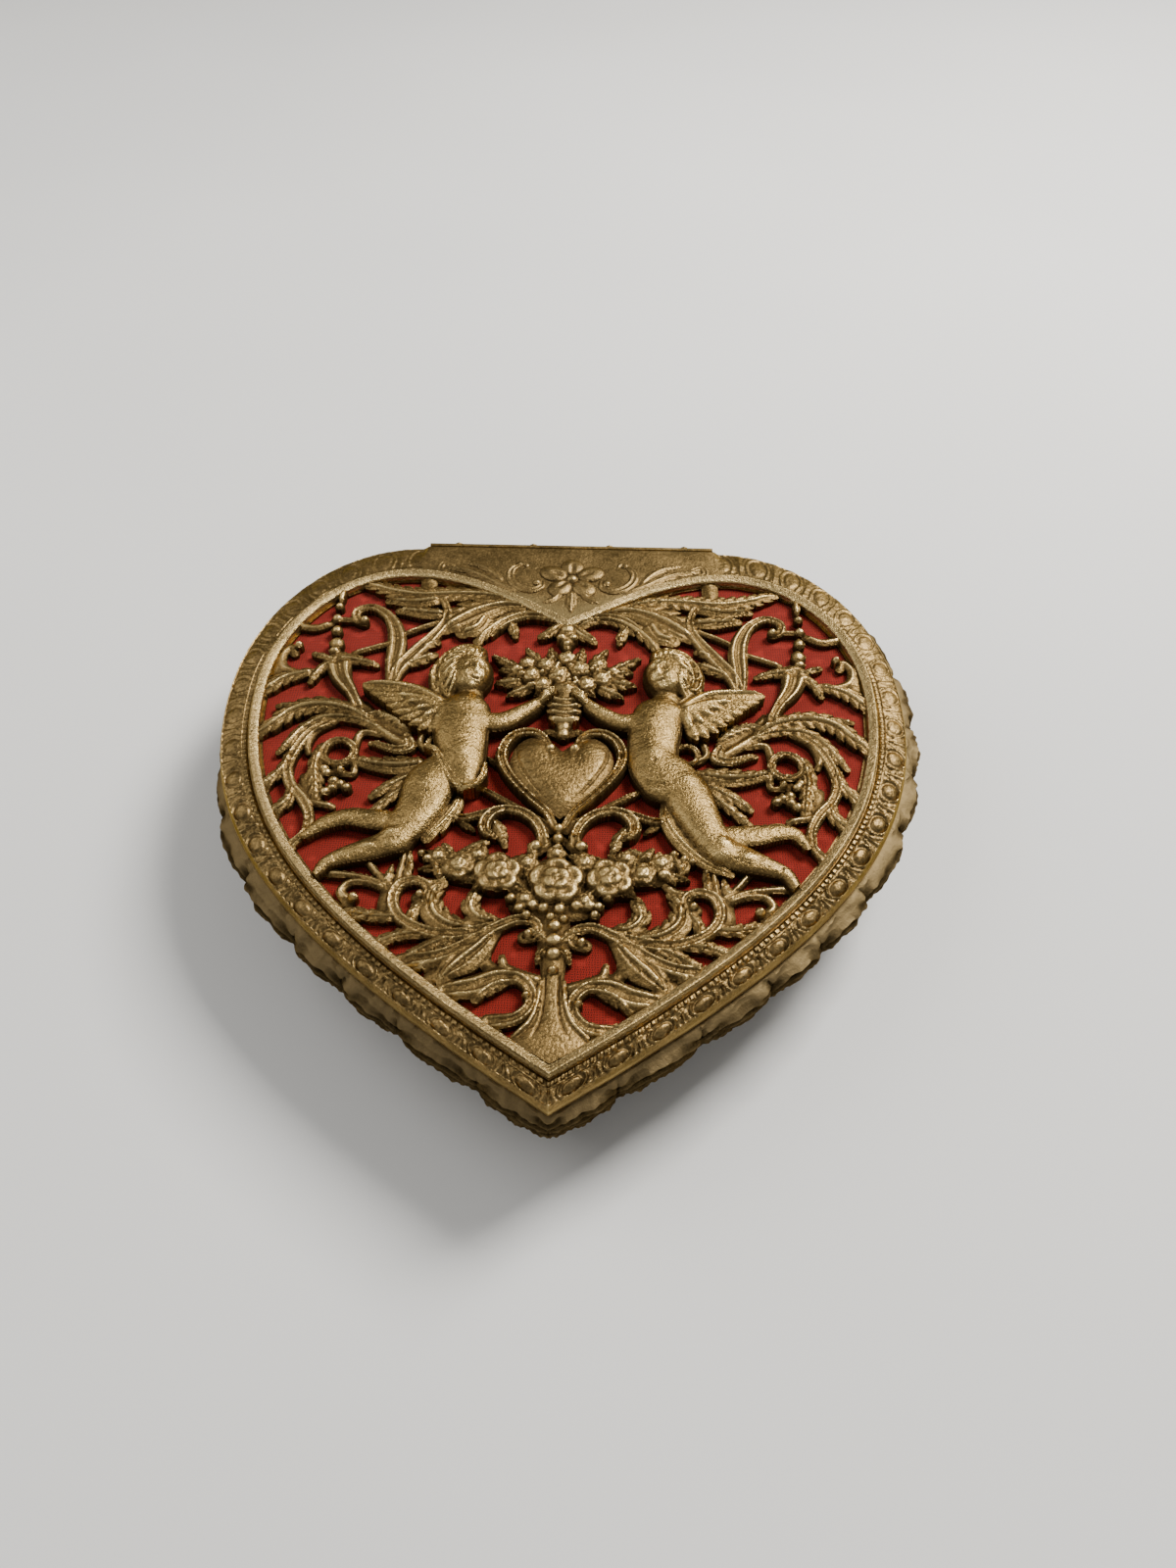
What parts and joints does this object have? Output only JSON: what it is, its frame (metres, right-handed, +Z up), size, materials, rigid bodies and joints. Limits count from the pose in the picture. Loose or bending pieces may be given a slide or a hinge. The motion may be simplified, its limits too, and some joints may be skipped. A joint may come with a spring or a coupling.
{
  "type": "heart trinket box",
  "caption": "Heart-shaped cast-metal trinket box with a hinged lid: pierced scrollwork and winged cherubs over red cloth, an egg-and-leaf border and a lined well.",
  "frame": {"origin": "under the middle of the box, on the surface that its feet stand on", "axes": "+Z up, the heart's tip to -Y, the hinge along X at the back (+Y)"},
  "size_m": [0.1522, 0.1478, 0.0304],
  "materials": {
    "cast_metal": "antiqued cast relief, dark in the recesses",
    "rubbed_metal": "antiqued and rubbed bright on the high places",
    "hinge_brass": "drawn strip, dull",
    "floor_brass": "sheet, dull",
    "red_cloth": "plain-woven cotton velvet, matt",
    "grey_card": "raw board"
  },
  "bodies": {
    "base": {"base_wall": "cast_metal", "base_floor": "floor_brass", "foot_front": "cast_metal", "foot_flank_left": "cast_metal", "foot_flank_right": "cast_metal", "foot_rear_left": "cast_metal", "foot_rear_right": "cast_metal", "floor_pad": "red_cloth", "wall_lining": "red_cloth", "hinge_leaf_base": "hinge_brass", "hinge_rivet_base_1": "hinge_brass", "hinge_rivet_base_2": "hinge_brass", "hinge_rivet_base_3": "hinge_brass", "hinge_rivet_base_4": "hinge_brass", "hinge_pin": "hinge_brass"},
    "lid": {"lid_border": "cast_metal", "lid_rim": "rubbed_metal", "pierced_panel": "cast_metal", "cherub_left": "rubbed_metal", "cherub_right": "rubbed_metal", "panel_cloth": "red_cloth", "lid_board": "grey_card", "lid_lining": "red_cloth", "hinge_leaf_lid": "hinge_brass", "hinge_rivet_lid_1": "hinge_brass", "hinge_rivet_lid_2": "hinge_brass", "hinge_rivet_lid_3": "hinge_brass", "hinge_rivet_lid_4": "hinge_brass"}
  },
  "joints": [
    {"name": "lid_hinge", "type": "hinge", "parent": "base", "child": "lid", "pos_m": [0, 0.07278, 0.02215], "axis": [-1, 0, 0], "range_deg": [0, 105]}
  ]
}
